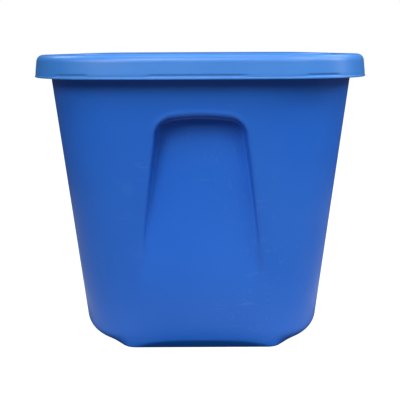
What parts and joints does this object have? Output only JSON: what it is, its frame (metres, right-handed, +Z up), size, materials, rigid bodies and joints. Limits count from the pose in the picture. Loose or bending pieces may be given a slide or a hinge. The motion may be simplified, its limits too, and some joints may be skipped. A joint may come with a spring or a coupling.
{
  "type": "storage tote",
  "caption": "Tapered rectangular plastic storage tote with rounded corners, arched grip recesses and a lid that overhangs it and snaps over its rim.",
  "frame": {"origin": "middle of the tub's footprint, on the floor it stands on", "axes": "+Z up, +Y along the tote's length, +X across its width; the end facing -Y and the end facing +Y are alike"},
  "size_m": [0.467, 0.605, 0.408],
  "materials": {
    "tub": "blue moulded polyethylene, satin",
    "lid": "blue moulded polyethylene, satin"
  },
  "bodies": {
    "tub": {"tub": "tub"},
    "lid": {"lid": "lid"}
  },
  "joints": [
    {"name": "lid_lift", "type": "slide", "parent": "tub", "child": "lid", "axis": [0, 0, 1], "range_m": [0, 0.45]}
  ]
}
